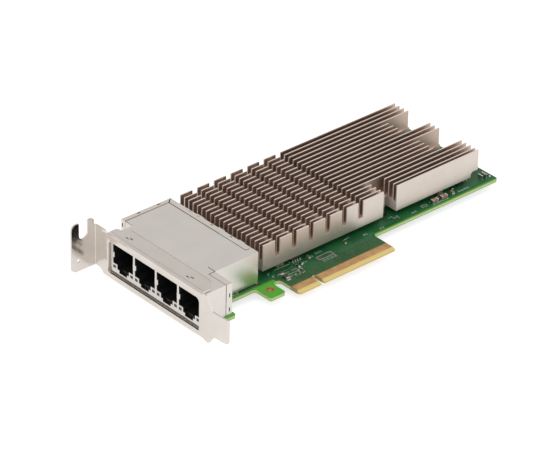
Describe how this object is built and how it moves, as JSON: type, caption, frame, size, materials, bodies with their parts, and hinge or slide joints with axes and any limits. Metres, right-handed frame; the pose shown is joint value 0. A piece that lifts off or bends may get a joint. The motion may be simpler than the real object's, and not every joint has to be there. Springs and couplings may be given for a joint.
{
  "type": "network interface card",
  "caption": "Low-profile network interface card: circuit board with edge connector, folded slot bracket, shielded jack block with modular ports, and a wide finned heat sink.",
  "frame": {"origin": "centre line of the key notch, on the lower edge of the edge connector, at the component face of the board", "axes": "+X along the card away from the bracket, +Y from the edge connector to the top edge, +Z out of the component face"},
  "size_m": [0.1796, 0.0807, 0.0246],
  "materials": {
    "board_laminate": "semi-gloss solder mask",
    "contact_gold": "bright gold plate",
    "copper_plating": "satin copper",
    "bracket_steel": "satin plated sheet",
    "shield_tin": "satin tinned sheet",
    "black_plastic": "matte",
    "lead_tin": "satin",
    "solder": "semi-bright",
    "sink_aluminium": "satin",
    "chip_package": "matte",
    "thermal_pad": "matte",
    "chip_epoxy": "matte",
    "can_aluminium": "bright",
    "inductor_body": "matte",
    "ceramic_brown": "semi-gloss ceramic",
    "resistor_black": "semi-gloss",
    "fuse_body": "semi-gloss",
    "light_pipe": "smoked clear",
    "screw_steel": "plated"
  },
  "bodies": {
    "root": {"bracket": "bracket_steel", "bracket_screw_1": "screw_steel", "bracket_screw_2": "screw_steel", "can_capacitor": "can_aluminium", "can_capacitor_base": "black_plastic", "chip_capacitor_bodies": "ceramic_brown", "chip_diode_bodies": "chip_epoxy", "chip_fuse_bodies": "fuse_body", "chip_resistor_bodies": "resistor_black", "chip_terminals": "solder", "circuit_board": "board_laminate", "controller_chip": "chip_package", "controller_thermal_pad": "thermal_pad", "edge_contacts_back": "contact_gold", "edge_contacts_front": "contact_gold", "heat_sink": "sink_aluminium", "heat_sink_screw_1": "screw_steel", "heat_sink_screw_2": "screw_steel", "heat_sink_screw_3": "screw_steel", "heat_sink_screw_4": "screw_steel", "hook_hole_plating": "copper_plating", "jack_board_pins": "lead_tin", "jack_contacts_1": "contact_gold", "jack_contacts_2": "contact_gold", "jack_contacts_3": "contact_gold", "jack_contacts_4": "contact_gold", "jack_front_shield": "shield_tin", "jack_housing": "black_plastic", "jack_magnetics_module": "black_plastic", "jack_rear_shield": "shield_tin", "jack_side_shield": "shield_tin", "jack_solder_joints": "solder", "memory_chip": "chip_epoxy", "memory_chip_leads": "lead_tin", "phy_chip": "chip_package", "phy_thermal_pad": "thermal_pad", "port_lights_1": "light_pipe", "port_lights_2": "light_pipe", "port_lights_3": "light_pipe", "port_lights_4": "light_pipe", "power_inductor_1": "inductor_body", "power_inductor_2": "inductor_body", "regulator_chip": "chip_epoxy", "underside_capacitor_bodies": "ceramic_brown", "underside_terminals": "solder"}
  },
  "joints": []
}
